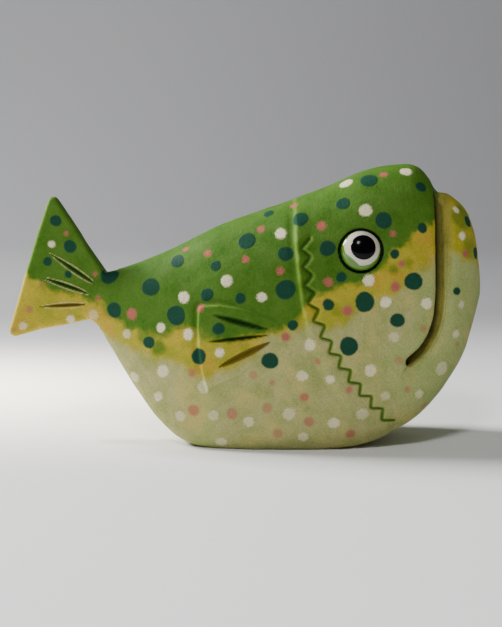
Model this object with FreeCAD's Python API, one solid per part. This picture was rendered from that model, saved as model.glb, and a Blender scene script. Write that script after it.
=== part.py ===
"""A painted wooden fish with a hollow body, glued up from three boards.

A core board carries the tail. A carved side board is glued to each face of it on dowels. Each
side board has half of the mouth carved into it as a slot that follows the skin, and holds a
turned eye button with an enamelled pupil. The space inside is a closed sound chamber.

Frame: millimetres, +X towards the nose, +Z up, +Y to the fish's left. The origin is under the
middle of the fish's length, on its centre plane, at the flat base.
"""
import FreeCAD, Part
import math
import os

Vec = FreeCAD.Vector

# ---- Boards ------------------------------------------------------------------------------
CORE_HALF = 7.0            # half the core board's thickness
FAR = 60.0                 # beyond the fish on any side of its centre plane

# ---- Side view: lines through these (x, z) points ----------------------------------------
BACK_LINE = [(-60, 52.0), (-50, 53.0), (-43, 53.8), (-32, 57.5), (-20, 62.6), (-7, 69.0),
             (4, 72.9), (19, 78.2), (29, 82.0), (38, 86.0), (45, 87.5), (51.5, 87.9),
             (54.5, 87.1), (57.0, 85.0), (59.0, 82.2), (60.6, 79.2), (63.6, 78.8), (67.0, 76.7),
             (70.0, 73.6), (72.2, 68.4), (73.8, 61.0), (75.0, 52.0)]
BELLY_LINE = [(-60, 41.5), (-52, 40.0), (-47, 37.6), (-43.5, 32.2), (-38.5, 24.2),
              (-33.5, 16.2), (-28.6, 9.6), (-24, 4.7), (-19, 1.0), (-12, -1.2), (3, -2.0),
              (20, -2.0), (32, -1.0), (41, 1.2), (48, 5.0), (54, 8.8), (60, 14.6),
              (65, 21.4), (69, 28.2), (71.6, 35.8), (73.8, 44.0), (75.0, 48.0)]
WIDEST_AT = 0.38           # height of the greatest width, as a share of the section's height
CROWN_POWER = 2.4          # superellipse power above the widest height: a rounded back
KEEL_POWER = 5.0           # and below it: nearly upright sides and a small bottom radius

# ---- Plan view: half width along x -------------------------------------------------------
HALF_WIDTH_LINE = [(-60, 2.4), (-52, 3.9), (-46, 5.9), (-39.5, 8.6), (-32, 11.9), (-24, 15.0),
                   (-15, 17.8), (-5, 19.8), (6, 21.0), (18, 21.4), (30, 21.2), (41, 20.2)]
BOW_START = 41.0           # forward of this the plan is a quarter ellipse
BOW_HALF = 20.2
BOW_LENGTH = 34.3
STATIONS = [-60, -56, -52, -48, -44, -39, -34, -29, -23, -16, -8, 2, 12, 22, 32, 40, 47, 52,
            55.5, 58, 60, 61.8, 64.5, 67.5, 70, 72, 73.6, 74.6]
SECTION_POINTS = 28

# ---- Raised work -------------------------------------------------------------------------
RAISED_ON_EDGES = 0.2      # raised work is this share as high on the back and belly
HEAD_RAISED = 0.8          # the gill cover stands proud of the trunk's sides
GILL_LINE = [(15.4, 95), (15.5, 76), (15.6, 65), (16.4, 55), (17.5, 46), (19.3, 38),
             (22.0, 30.5), (24.8, 24), (28.6, 18.5), (34, 11), (40, -6)]
FIN_RAISED = 1.0           # at the fin's trailing edge; it fades out at its root
FIN_TIP_X, FIN_ROOT_X = -14.0, 14.0
FIN_OUTLINE = [(-13.4, 45.2), (-7.2, 46.2), (-0.2, 44.7), (6.8, 41.8), (9.4, 39.0),
               (8.3, 31.3), (4.4, 28.2), (-0.2, 24.2), (-7.3, 20.5), (-11.4, 19.3),
               (-13.0, 26.7), (-14.0, 33.0)]

# ---- Mouth -------------------------------------------------------------------------------
MOUTH_WIDTH = 3.6
MOUTH_DEPTH = 4.0
MOUTH_LINE = [(60.6, 98), (60.6, 72), (60.7, 56), (60.6, 48), (60.2, 42), (58.8, 37.0),
              (56.0, 32.1), (51.6, 28.0)]

# ---- Zigzag line round the gill ----------------------------------------------------------
ZIGZAG_LINE = [(18.6, 65.4), (19.2, 58.0), (19.8, 50.5), (21.8, 42.8), (25.2, 35.0),
               (29.6, 28.0), (35.0, 20.4), (45.4, 8.6)]
ZIGZAG_TEETH = 12
ZIGZAG_SWING = 1.4         # each tooth's point from the middle of the line
ZIGZAG_WIDTH = 1.1
ZIGZAG_DEPTH = 1.2

# ---- Gouge cuts: (root x, z), (end x, z), radius, deepest point as a share of the length --
TAIL_GOUGES = [((-47.2, 50.5), (-61.2, 60.0), 0.75, 0.45),
               ((-48.6, 46.8), (-63.9, 52.3), 0.75, 0.45),
               ((-49.9, 43.9), (-65.0, 42.8), 0.75, 0.45)]
FIN_GOUGES = [((8.4, 38.3), (-8.9, 42.9), 1.5, 0.72),
              ((8.8, 36.6), (-11.4, 34.2), 0.9, 0.60),
              ((8.6, 34.4), (-7.2, 26.8), 1.6, 0.55)]

# ---- Tail fin ----------------------------------------------------------------------------
TAIL_ROOT_X = -43.0
TAIL_ROOT_HALF = 3.9       # half thickness where the tail meets the body
TAIL_EDGE_HALF = 2.3       # and at its trailing edge
TAIL_ROUND = 1.4           # radius round its edges
TAIL_OUTLINE = [(-40, 47.3), (-60.6, 79.9), (-76.5, 32.0), (-40, 39.5)]
TAIL_TIP_RADIUS = 1.7

# ---- Sound chamber -----------------------------------------------------------------------
CHAMBER_OUTLINE = [(-17, 26), (-10, 11), (24, 9.5), (31, 17), (31, 40), (24, 54), (6, 56),
                   (-12, 50)]
CHAMBER_CORNER = 5.0
CHAMBER_HALF = 12.0

# ---- Eyes --------------------------------------------------------------------------------
EYE_X, EYE_Z = 35.6, 62.4
EYE_TILT = 11.0            # the eye looks this many degrees above level
SOCKET_RADIUS = 6.75
SOCKET_DEPTH = 2.6
BUTTON_RADIUS = 6.15
BUTTON_RIM = 1.4           # height of the button's straight edge
BUTTON_DOME = 3.0          # height of its dome above that edge
TENON_RADIUS = 2.0
TENON_LENGTH = 7.0
PUPIL_RADIUS = 3.65
PUPIL_THICK = 0.35
PUPIL_OFFSET = (0.6, 0.8)  # the pupil sits forward and up on the dome

# ---- Dowels through the core: (x, z) and half length --------------------------------------
DOWEL_RADIUS = 2.5
DOWELS = [(-29, 36, 9.5), (16, 65, 12.0), (44, 44, 13.5), (42, 14, 13.0)]
DOWEL_HOLE_EXTRA = 0.8     # the holes are this much deeper than the dowels at each end
GLUE_LINE = 0.05           # radial room for glue round the dowels and tenons


def line_value(points, x):
    """z at x on a smooth line through (x, z) points, by cubic Hermite spans with limited slopes."""
    spans = [(b[1] - a[1]) / (b[0] - a[0]) for a, b in zip(points, points[1:])]
    slopes = [spans[0]]
    for before, after in zip(spans, spans[1:]):
        flat = before * after <= 0
        slopes.append(0.0 if flat else 2 * before * after / (before + after))
    slopes.append(spans[-1])
    x = min(max(x, points[0][0]), points[-1][0])
    i = next(k for k in range(len(spans)) if x <= points[k + 1][0])
    (x0, z0), (x1, z1) = points[i], points[i + 1]
    width = x1 - x0
    t = (x - x0) / width
    return (z0 * (1 + 2 * t) * (1 - t) ** 2 + z1 * t * t * (3 - 2 * t)
            + width * (slopes[i] * t * (1 - t) ** 2 - slopes[i + 1] * t * t * (1 - t)))


def half_width(x):
    """Half the body's greatest width at x."""
    if x <= BOW_START:
        return line_value(HALF_WIDTH_LINE, x)
    return BOW_HALF * math.sqrt(max(0.0, 1 - ((x - BOW_START) / BOW_LENGTH) ** 2))


def section_sizes(x):
    """Widest height, height above and below it, and half width of the section at x."""
    top = line_value(BACK_LINE, x)
    bottom = line_value(BELLY_LINE, x)
    widest = bottom + WIDEST_AT * (top - bottom)
    return widest, top - widest, widest - bottom, half_width(x)


def surface_y(x, z):
    """Distance of the trunk's skin from the centre plane at (x, z)."""
    widest, above, below, half = section_sizes(x)
    power = CROWN_POWER if z > widest else KEEL_POWER
    share = abs(z - widest) / (above if z > widest else below)
    return half * max(0.0, 1 - share ** power) ** (1 / power)


def section_wire(x, raised):
    """The body's closed section at x: two half superellipses that meet at the widest height."""
    widest, above, below, half = section_sizes(x)
    half += raised
    above += raised * RAISED_ON_EDGES
    below += raised * RAISED_ON_EDGES
    fine = []
    steps = 400
    for i in range(steps + 1):
        turn = math.pi * (i / steps - 0.5)
        rise = math.sin(turn)
        power = CROWN_POWER if rise > 0 else KEEL_POWER
        height = above if rise > 0 else below
        fine.append((half * math.cos(turn) ** (2 / power) if math.cos(turn) > 0 else 0.0,
                     widest + math.copysign(height * abs(rise) ** (2 / power), rise)))
    lengths = [0.0]
    for a, b in zip(fine, fine[1:]):
        lengths.append(lengths[-1] + math.hypot(b[0] - a[0], b[1] - a[1]))
    side = []
    count = SECTION_POINTS // 2
    for i in range(count + 1):
        want = lengths[-1] * i / count
        k = next(n for n in range(steps) if lengths[n + 1] >= want - 1e-9)
        t = (want - lengths[k]) / max(lengths[k + 1] - lengths[k], 1e-9)
        side.append(tuple(fine[k][n] + t * (fine[k + 1][n] - fine[k][n]) for n in (0, 1)))
    ring = [Vec(x, y, z) for y, z in side] + [Vec(x, -y, z) for y, z in side[-2:0:-1]]
    curve = Part.BSplineCurve()
    curve.interpolate(ring, PeriodicFlag=True)
    return Part.Wire(curve.toShape())


def body_loft(raised, stations=None):
    """The body's carved form from inside the tail to the lower lip, its sides raised by raised(x)."""
    return Part.makeLoft([section_wire(x, raised(x)) for x in stations or STATIONS], True)


def prism(face_or_wire, y0, y1):
    """A side-view outline at y = 0 made solid between y0 and y1."""
    face = Part.Face(face_or_wire) if isinstance(face_or_wire, Part.Wire) else face_or_wire
    face = face.copy()
    face.translate(Vec(0, y0, 0))
    return face.extrude(Vec(0, y1 - y0, 0))


def polygon(points):
    """A closed straight-sided side-view wire."""
    corners = [Vec(x, 0, z) for x, z in points]
    return Part.makePolygon(corners + corners[:1])


def smooth_edge(points):
    """A smooth side-view edge through the points."""
    curve = Part.BSplineCurve()
    curve.interpolate([Vec(x, 0, z) for x, z in points])
    return curve.toShape()


def rounded(points, radius):
    """A closed side-view face with straight sides and rounded corners."""
    solid = prism(polygon(points), 0, 1)
    upright = [e for e in solid.Edges if abs(e.tangentAt(e.FirstParameter).y) > 0.9]
    solid = solid.makeFillet(radius, upright)
    return next(f for f in solid.Faces if f.normalAt(0, 0).y < -0.9)


def tail_plate():
    """The tail fin: a triangle of board, thinner towards its trailing edge, with soft edges."""
    plate = prism(polygon(TAIL_OUTLINE), -TAIL_ROOT_HALF, TAIL_ROOT_HALF)
    tips = [e for e in plate.Edges
            if abs(e.tangentAt(e.FirstParameter).y) > 0.9 and e.BoundBox.XMax < -55]
    plate = plate.makeFillet(TAIL_TIP_RADIUS, tips)
    past = TAIL_OUTLINE[2][0] - 10
    for side in (-1, 1):
        corners = [(past, tail_skin(past, 0)), (TAIL_ROOT_X, TAIL_ROOT_HALF), (TAIL_ROOT_X, 20),
                   (past, 20), (past, tail_skin(past, 0))]
        wedge = Part.makePolygon([Vec(x, side * y, 0) for x, y in corners])
        plate = plate.cut(Part.Face(wedge).extrude(Vec(0, 0, 100)))
    rims = [e for e in plate.Edges
            if abs(e.tangentAt(e.FirstParameter).y) < 0.5 and e.BoundBox.XMin < TAIL_ROOT_X - 5
            and abs(e.BoundBox.Center.y) > 1]
    return plate.makeFillet(TAIL_ROUND, rims)


def gouge(root, end, radius, deepest, skin):
    """A boat-shaped cut along a straight line on one side, pointed at its root."""
    rings = []
    steps = 8
    length = math.hypot(end[0] - root[0], end[1] - root[1])
    along = Vec((end[0] - root[0]) / length, 0, (end[1] - root[1]) / length)
    for i in range(steps + 1):
        t = i / steps
        x, z = root[0] + along.x * length * t, root[1] + along.z * length * t
        power = math.log(0.5) / math.log(deepest)
        size = max(0.12, math.sin(math.pi * t ** power) ** 0.7 if 0 < t < 1 else 0) * radius
        circle = Part.Circle(Vec(x, -skin(x, z), z), along, size)
        rings.append(Part.Wire(circle.toShape()))
    return Part.makeLoft(rings, True)


def tail_skin(x, z):
    """Half thickness of the tail at x."""
    share = (TAIL_ROOT_X - x) / (TAIL_ROOT_X - TAIL_OUTLINE[2][0])
    return TAIL_ROOT_HALF + (TAIL_EDGE_HALF - TAIL_ROOT_HALF) * share


def fin_raised(x):
    """Height of the fin's face above the trunk at x: full at its tip, none at its root."""
    share = (FIN_ROOT_X - x) / (FIN_ROOT_X - FIN_TIP_X)
    return FIN_RAISED * min(max(share, 0.0), 1.0)


def fin_skin(x, z):
    """Distance of the raised fin's face from the centre plane."""
    return surface_y(x, z) + fin_raised(x)


def zigzag_face():
    """The zigzag cut's outline in side view: a band of even width that swings to and fro."""
    middle = smooth_edge(ZIGZAG_LINE)
    count = 2 * ZIGZAG_TEETH
    places = [middle.getParameterByLength(middle.Length * i / count) for i in range(count + 1)]
    line = []
    for i, place in enumerate(places):
        point, tangent = middle.valueAt(place), middle.tangentAt(place)
        across = Vec(tangent.z, 0, -tangent.x)
        line.append(point + across * ZIGZAG_SWING * (1 if i % 2 else -1))
    edges = []
    for side in (1, -1):
        shifted = []
        for i, point in enumerate(line):
            before = line[max(i - 1, 0)]
            after = line[min(i + 1, count)]
            into = (point - before).normalize() if i else (after - point).normalize()
            out = (after - point).normalize() if i < count else into
            normal_in, normal_out = Vec(into.z, 0, -into.x), Vec(out.z, 0, -out.x)
            mitre = (normal_in + normal_out).normalize()
            reach = ZIGZAG_WIDTH / 2 / max(mitre.dot(normal_in), 0.4)
            shifted.append(point + mitre * reach * side)
        edges.append(shifted)
    corners = edges[0] + edges[1][::-1]
    return Part.Face(Part.makePolygon(corners + corners[:1]))


def mouth_face():
    """The mouth slot's outline in side view: open at the top, round at its inner end."""
    middle = smooth_edge(MOUTH_LINE)
    first, last = middle.ParameterRange
    half = MOUTH_WIDTH / 2
    sides = []
    steps = 14
    for side in (1, -1):
        points = []
        for i in range(steps + 1):
            place = middle.getParameterByLength(middle.Length * i / steps)
            point, tangent = middle.valueAt(place), middle.tangentAt(place)
            points.append(point + Vec(tangent.z, 0, -tangent.x) * half * side)
        curve = Part.BSplineCurve()
        curve.interpolate(points)
        sides.append((points, curve.toShape()))
    end, tangent = middle.valueAt(last), middle.tangentAt(last)
    cap = Part.Arc(sides[0][0][-1], end + tangent * half, sides[1][0][-1]).toShape()
    top = Part.LineSegment(sides[0][0][0], sides[1][0][0]).toShape()
    return Part.Face(Part.Wire(Part.__sortEdges__([sides[0][1], cap, sides[1][1], top])))


def head_face():
    """Everything forward of the gill line, in side view."""
    line = smooth_edge(GILL_LINE)
    corners = [Vec(GILL_LINE[-1][0], 0, GILL_LINE[-1][1]), Vec(90, 0, GILL_LINE[-1][1]),
               Vec(90, 0, GILL_LINE[0][1]), Vec(GILL_LINE[0][0], 0, GILL_LINE[0][1])]
    straight = [Part.LineSegment(a, b).toShape() for a, b in zip(corners, corners[1:])]
    return Part.Face(Part.Wire(Part.__sortEdges__([line] + straight)))


def eye_frame(side):
    """Placement whose +Z points out of the eye socket and whose origin is on the head's skin."""
    skin = surface_y(EYE_X, EYE_Z) + HEAD_RAISED
    out = Vec(0, side * math.cos(math.radians(EYE_TILT)), math.sin(math.radians(EYE_TILT)))
    return FreeCAD.Placement(Vec(EYE_X, side * skin, EYE_Z), FreeCAD.Rotation(Vec(0, 0, 1), out))


def placed(shape, placement):
    """A copy of a shape moved by a placement."""
    moved = shape.copy()
    moved.Placement = placement.multiply(moved.Placement)
    return moved


def eye_button():
    """A turned button with a domed face and a tenon, at the socket's frame."""
    ball = (BUTTON_RADIUS ** 2 + BUTTON_DOME ** 2) / (2 * BUTTON_DOME)
    floor = -SOCKET_DEPTH
    rim = Part.makeCylinder(BUTTON_RADIUS, BUTTON_RIM + BUTTON_DOME, Vec(0, 0, floor))
    sphere = Part.makeSphere(ball, Vec(0, 0, floor + BUTTON_RIM + BUTTON_DOME - ball))
    tenon = Part.makeCylinder(TENON_RADIUS, TENON_LENGTH, Vec(0, 0, floor), Vec(0, 0, -1))
    return rim.common(sphere).fuse(tenon).removeSplitter()


def pupil(side):
    """A thin round drop of enamel on the button's dome."""
    ball = (BUTTON_RADIUS ** 2 + BUTTON_DOME ** 2) / (2 * BUTTON_DOME)
    centre = Vec(0, 0, -SOCKET_DEPTH + BUTTON_RIM + BUTTON_DOME - ball)
    forward, up = PUPIL_OFFSET
    frame = eye_frame(side)
    ahead = frame.Rotation.inverted().multVec(Vec(1, 0, 0))
    above = frame.Rotation.inverted().multVec(Vec(0, 0, 1))
    middle = ahead * forward + above * up
    column = Part.makeCylinder(PUPIL_RADIUS, 20, Vec(middle.x, middle.y, -SOCKET_DEPTH))
    shell = Part.makeSphere(ball + PUPIL_THICK, centre).cut(Part.makeSphere(ball, centre))
    return shell.common(column)


def socket():
    """The eye's counterbore and the hole for its tenon."""
    bore = Part.makeCylinder(SOCKET_RADIUS, SOCKET_DEPTH + 10, Vec(0, 0, -SOCKET_DEPTH))
    hole = Part.makeCylinder(TENON_RADIUS + GLUE_LINE, TENON_LENGTH + DOWEL_HOLE_EXTRA,
                             Vec(0, 0, -SOCKET_DEPTH), Vec(0, 0, -1))
    return bore.fuse(hole)


def mirrored(shape):
    """The same shape on the fish's other side."""
    return shape.mirror(Vec(0, 0, 0), Vec(0, 1, 0))


def carved_body():
    """The whole fish as one form, before it is parted into its boards."""
    head = prism(head_face(), -FAR, FAR)
    trunk = body_loft(lambda x: 0.0)
    fish = trunk.cut(head).fuse(body_loft(lambda x: HEAD_RAISED).common(head))
    fins = body_loft(fin_raised).common(prism(polygon(FIN_OUTLINE), -FAR, FAR))
    fish = fish.fuse(fins).fuse(tail_plate())
    fish = fish.common(Part.makeBox(200, 2 * FAR, 120, Vec(-100, -FAR, 0)))
    depth = body_loft(lambda x: HEAD_RAISED - ZIGZAG_DEPTH)
    cuts = [prism(zigzag_face(), -FAR, 0).cut(depth)]
    cuts += [gouge(*cut, fin_skin) for cut in FIN_GOUGES]
    cuts += [gouge(*cut, tail_skin) for cut in TAIL_GOUGES]
    for cut in cuts:
        fish = fish.cut(cut).cut(mirrored(cut))
    return fish


def dowel_pins(longer, wider):
    """The dowels as separate solids; longer at each end and wider all round for their holes."""
    return [Part.makeCylinder(DOWEL_RADIUS + wider, 2 * (half + longer),
                              Vec(x, -half - longer, z), Vec(0, 1, 0))
            for x, z, half in DOWELS]


def boards(fish):
    """The core board and the right side board, hollowed, slotted and bored."""
    hollow = prism(rounded(CHAMBER_OUTLINE, CHAMBER_CORNER), -CHAMBER_HALF, CHAMBER_HALF)
    holes = dowel_pins(DOWEL_HOLE_EXTRA, GLUE_LINE)
    slab = Part.makeBox(200, 2 * CORE_HALF, 120, Vec(-100, -CORE_HALF, -1))
    core = fish.common(slab).cut(hollow)
    outer = Part.makeBox(200, FAR, 120, Vec(-100, -CORE_HALF - FAR, -1))
    side = fish.common(outer).cut(hollow)
    floor = body_loft(lambda x: -MOUTH_DEPTH, [x for x in STATIONS if 36 < x < 71])
    side = side.cut(prism(mouth_face(), -FAR, 0).cut(floor))
    side = side.cut(placed(socket(), eye_frame(-1)))
    for hole in holes:
        core, side = core.cut(hole), side.cut(hole)
    return core, side


def largest_solids(shape, count):
    """The largest solids of a shape, as one shape."""
    solids = sorted(shape.Solids, key=lambda s: -s.Volume)[:count]
    return solids[0] if count == 1 else Part.makeCompound(solids)


def build():
    """Every node's shape by name."""
    core, side = boards(carved_body())
    core, side = largest_solids(core, 1), largest_solids(side, 1)
    dowels = dowel_pins(0, 0)
    nodes = {
        "core_board": core,
        "right_side_board": side,
        "left_side_board": mirrored(side),
        "assembly_dowels": Part.makeCompound(dowels),
    }
    for name, side_sign in (("right", -1), ("left", 1)):
        nodes[name + "_eye_button"] = placed(eye_button(), eye_frame(side_sign))
        nodes[name + "_pupil"] = placed(pupil(side_sign), eye_frame(side_sign))
    return nodes


def write(nodes):
    """One STEP file per node."""
    os.makedirs("parts", exist_ok=True)
    for name, shape in nodes.items():
        shape.exportStep("parts/" + name + ".step")
        box = shape.BoundBox
        print(f"{name}: solids {len(shape.Solids)} valid {shape.isValid()} "
              f"volume {shape.Volume / 1000:.2f} cm3 "
              f"x {box.XMin:.2f}..{box.XMax:.2f} y {box.YMin:.2f}..{box.YMax:.2f} "
              f"z {box.ZMin:.2f}..{box.ZMax:.2f}")


write(build())
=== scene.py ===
"""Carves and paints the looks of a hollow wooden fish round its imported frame."""

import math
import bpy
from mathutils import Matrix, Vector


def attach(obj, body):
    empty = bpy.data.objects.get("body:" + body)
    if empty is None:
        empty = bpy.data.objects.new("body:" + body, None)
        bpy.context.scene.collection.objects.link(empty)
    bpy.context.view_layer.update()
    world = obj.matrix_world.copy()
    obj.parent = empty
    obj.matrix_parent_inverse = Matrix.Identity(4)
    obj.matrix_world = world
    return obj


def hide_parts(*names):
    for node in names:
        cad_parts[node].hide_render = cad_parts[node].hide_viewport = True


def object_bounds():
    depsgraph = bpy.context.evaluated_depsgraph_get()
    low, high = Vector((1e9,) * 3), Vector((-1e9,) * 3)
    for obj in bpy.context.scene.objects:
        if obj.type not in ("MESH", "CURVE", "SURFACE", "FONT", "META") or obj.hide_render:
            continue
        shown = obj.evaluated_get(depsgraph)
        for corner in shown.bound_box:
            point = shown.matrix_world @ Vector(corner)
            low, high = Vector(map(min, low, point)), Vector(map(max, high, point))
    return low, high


bl_info = {
    "name": "Painted Wooden Fish",
    "version": (1, 0, 0),
    "blender": (4, 5, 0),
    "location": "3D View > Sidebar > Wooden Fish",
    "description": "Carves the boards of a wooden fish, paints them and sets its eyes",
    "category": "Add Mesh",
}

import bmesh
import bpy
import numpy as np
from bpy.props import FloatProperty, FloatVectorProperty, IntProperty, PointerProperty
from mathutils import Matrix, Vector

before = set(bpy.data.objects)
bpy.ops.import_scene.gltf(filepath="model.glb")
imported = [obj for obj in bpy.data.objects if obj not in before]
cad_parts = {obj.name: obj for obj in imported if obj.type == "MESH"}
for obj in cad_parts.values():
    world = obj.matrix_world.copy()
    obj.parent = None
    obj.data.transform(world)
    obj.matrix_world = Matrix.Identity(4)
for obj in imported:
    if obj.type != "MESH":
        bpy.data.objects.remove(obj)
CAD_BOX = [list(corner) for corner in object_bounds()]

# Lengths below are in millimetres. Only the lamps' places and sizes and the places that a
# material reads are in metres, and a texture's scale is per metre.
MM = 0.001

# Side view: the back and the belly, as smooth lines through (x, z) points.
BACK = [
    (-60, 52.0), (-50, 53.0), (-43, 53.8), (-32, 57.5), (-20, 62.6), (-7, 69.0), (4, 72.9),
    (19, 78.2), (29, 82.0), (38, 86.0), (45, 87.5), (51.5, 87.9), (54.5, 87.1), (57.0, 85.0),
    (59.0, 82.2), (60.6, 79.2), (63.6, 78.8), (67.0, 76.7), (70.0, 73.6), (72.2, 68.4),
    (73.8, 61.0), (75.0, 52.0),
]
BELLY = [
    (-60, 41.5), (-52, 40.0), (-47, 37.6), (-43.5, 32.2), (-38.5, 24.2), (-33.5, 16.2),
    (-28.6, 9.6), (-24, 4.7), (-19, 1.0), (-12, -1.2), (3, -2.0), (20, -2.0), (32, -1.0),
    (41, 1.2), (48, 5.0), (54, 8.8), (60, 14.6), (65, 21.4), (69, 28.2), (71.6, 35.8),
    (73.8, 44.0), (75.0, 48.0),
]
HALF_WIDTH = [
    (-60, 2.4), (-52, 3.9), (-46, 5.9), (-39.5, 8.6), (-32, 11.9), (-24, 15.0), (-15, 17.8),
    (-5, 19.8), (6, 21.0), (18, 21.4), (30, 21.2), (41, 20.2),
]
WIDEST_AT, CROWN_POWER, KEEL_POWER = 0.38, 2.4, 5.0
BOW_START, BOW_HALF, BOW_LENGTH = 41.0, 20.2, 34.3

# Tail fin: its outline, and half its thickness at the root and at the trailing edge.
TAIL = [(-40, 47.3), (-60.6, 79.9), (-68.5, 56.2), (-76.1, 32.3), (-66, 35.2), (-57, 37.1),
        (-49, 38.7), (-40, 40)]
TAIL_RADII = [0, 1.7, 0, 1.9, 0, 0, 0, 0]
TAIL_ROOT_X, TAIL_EDGE_X, TAIL_ROOT_HALF, TAIL_EDGE_HALF = -43.0, -76.5, 3.8, 2.2

# Boards, chamber and dowel holes.
CORE_HALF = 7.0
CHAMBER = [(-17, 26), (-10, 11), (24, 9.5), (31, 17), (31, 40), (24, 54), (6, 56), (-12, 50)]
CHAMBER_CORNER, CHAMBER_HALF = 5.0, 12.0
DOWELS = [(-29, 36, 10.3), (16, 65, 12.8), (44, 44, 14.3), (42, 14, 13.8)]
DOWEL_HOLE = 2.55

# Mouth slot: its middle line, half its width, its depth, and how near the core it may reach.
MOUTH = [(60.6, 98), (60.6, 72), (60.7, 56), (60.6, 48), (60.2, 42), (58.8, 37), (56, 32.1),
         (51.6, 28)]
MOUTH_HALF, MOUTH_DEPTH, MOUTH_INTO_CORE = 2.05, 3.7, 0.4

# Eye: where it sits, how far it looks up, and its socket.
EYE_X, EYE_Z, EYE_TILT, HEAD_RAISED = 35.6, 62.4, 11.0, 0.8
SOCKET_RADIUS, SOCKET_DEPTH = 6.75, 2.6

# Carved lines in side view.
GILL = [(15.4, 95), (15.5, 76), (15.6, 65), (16.4, 55), (17.5, 46), (19.3, 38), (22, 30.5),
        (24.8, 24), (28.6, 18.5), (34, 11), (40, -6)]
# The zigzag cut round the gill: the line down its middle, and how its teeth swing across it.
ZIGZAG_MIDDLE = [(18.6, 65.4), (19.2, 58.0), (19.8, 50.5), (21.8, 42.8), (25.2, 35.0),
                 (29.6, 28.0), (35.0, 20.4), (45.4, 8.6)]
ZIGZAG_TEETH = 12
ZIGZAG_SWING = 1.4
FIN = [(-13.9, 45.1), (-7.4, 45.7), (-1.7, 44.9), (4, 43.3), (9.5, 41.3), (13.5, 37), (13.5, 33),
       (9.8, 32.6), (4.3, 27.3), (-1.7, 23.8), (-7, 21.4), (-11.2, 18.4), (-12.8, 25),
       (-13.9, 33.5), (-14.1, 38.5)]
FIN_RADII = [1.5, 3, 4, 6, 4, 3, 2, 3, 3, 4, 4, 0.5, 3, 4, 4]
# Gouge cuts: root, end, greatest half width, where it is widest, depth, which side of its
# middle is deepest, and the paint in it.
FIN_GOUGES = [
    ((8.0, 38.4), (-9.4, 42.8), 1.2, 0.5, 1.9, 0.7, "deep"),
    ((8.3, 36.9), (-11.4, 34.4), 0.85, 0.5, 1.7, 0.5, "deep"),
    ((8.3, 34.7), (-7.6, 26.7), 1.2, 0.5, 1.7, 0.0, "ochre"),
]
TAIL_GOUGES = [
    ((-47.3, 50.5), (-61.2, 59.9), 0.66, 0.4, 1.1, 0, "deep"),
    ((-48.4, 47.1), (-63.8, 52.3), 0.62, 0.5, 1.1, 0, "deep"),
    ((-49.9, 43.9), (-64.8, 43.0), 0.62, 0.4, 1.1, 0, "ochre"),
]

# Where each ground colour ends, as (x, z) lines.
TAIL_GREEN = [(-76, 56), (-68.5, 53.5), (-63, 49), (-58, 47.5), (-46, 45)]
TRUNK_GREEN = [(-46.5, 46), (-44, 44), (-39.5, 39.5), (-34, 37.5), (-26, 37), (-16.5, 38.5),
               (-13, 38), (-12, 35.5), (0, 36), (8, 37.5), (14, 39.5), (16, 42), (19, 45)]
TRUNK_OCHRE = [(-46.5, 36), (-44, 34), (-37, 32), (-29, 29), (-21, 27.5), (-16, 24),
               (-12, 23.2), (-6.5, 25), (0.5, 28.8), (5.5, 33), (8, 36.5), (12, 36.5),
               (19, 40.5)]
HEAD_GREEN = [(16, 48.5), (21.5, 48.5), (27.5, 50.5), (33, 52), (37, 53), (39.5, 55), (43, 59),
              (47.5, 62.5), (52, 66.5), (55, 69.5), (60, 71)]
HEAD_OCHRE = [(16, 42.5), (23, 40), (27.5, 39.5), (31, 40.5), (33, 43.5), (36, 46), (46, 48.5),
              (49, 52), (52, 55.5), (60, 59.5)]
LIP_OCHRE = [(59, 63), (66.5, 59.5), (70, 58), (76, 55)]

# Painted spots of one side: the paint, how many, smallest and largest radius, clear gap to any
# other spot, further gap to one of the same paint, and the lowest share of the height they reach.
SPOT_KINDS = (
    ("teal", 38, 1.5, 3.1, 1.5, 3.6, 0.40),
    ("white", 42, 1.4, 2.2, 1.2, 3.2, 0.03),
    ("rose", 40, 0.9, 1.8, 1.0, 3.0, 0.03),
)
# Dabs of the leaf green let into the ochre: x, z, radius and how strongly each covers.
LEAF_DABS = [(-11, 39, 4.6, 0.8), (-30, 35.5, 3.6, 0.7), (67.5, 72, 4.0, 0.55),
             (70.5, 62, 3.4, 0.4), (-36, 38.5, 2.2, 0.7), (-24.5, 38, 3.4, 0.7),
             (-26.5, 32, 2.3, 0.8), (-42, 42.5, 2.6, 0.7), (45.5, 56.5, 1.4, 0.7),
             (50, 59, 1.6, 0.5), (28.5, 44.5, 1.8, 0.3), (0, 33, 1.6, 0.3)]

# Eye button: its radius, the height of its rim and of its dome; its pupil's radius and thickness.
BUTTON_RADIUS, BUTTON_RIM, BUTTON_DOME = 6.1, 1.4, 3.0
TENON_RADIUS, TENON_LENGTH = 2.0, 7.0
PUPIL_RADIUS, PUPIL_THICK = 3.85, 0.34
WHITE_RADIUS = 5.4

# Paper sweep: its near end, where its bend starts, the bend's radius, its top, half its width.
PAPER_NEAR, PAPER_BEND, PAPER_RADIUS, PAPER_TOP, PAPER_HALF = -1200, 700, 500, 900, 1500
# Camera: sensor and focal length, distance, degrees above level, and its aim from the middle.
SENSOR, FOCAL_LENGTH, CAMERA_AWAY, CAMERA_RISE = 36.0, 71.77, 400.0, 8
AIM_AHEAD, AIM_HEIGHT = 2.8, 40.4


def hex_colour(text):
    """An sRGB hex colour as linear red, green, blue and alpha."""
    parts = [int(text[i:i + 2], 16) / 255 for i in (0, 2, 4)]
    linear = [p / 12.92 if p <= 0.04045 else ((p + 0.055) / 1.055) ** 2.4 for p in parts]
    return (*linear, 1.0)


def colour_property(name, description, colour):
    """A colour that the user can change."""
    return FloatVectorProperty(name=name, description=description, subtype="COLOR", size=4,
                               min=0, max=1, default=hex_colour(colour))


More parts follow.
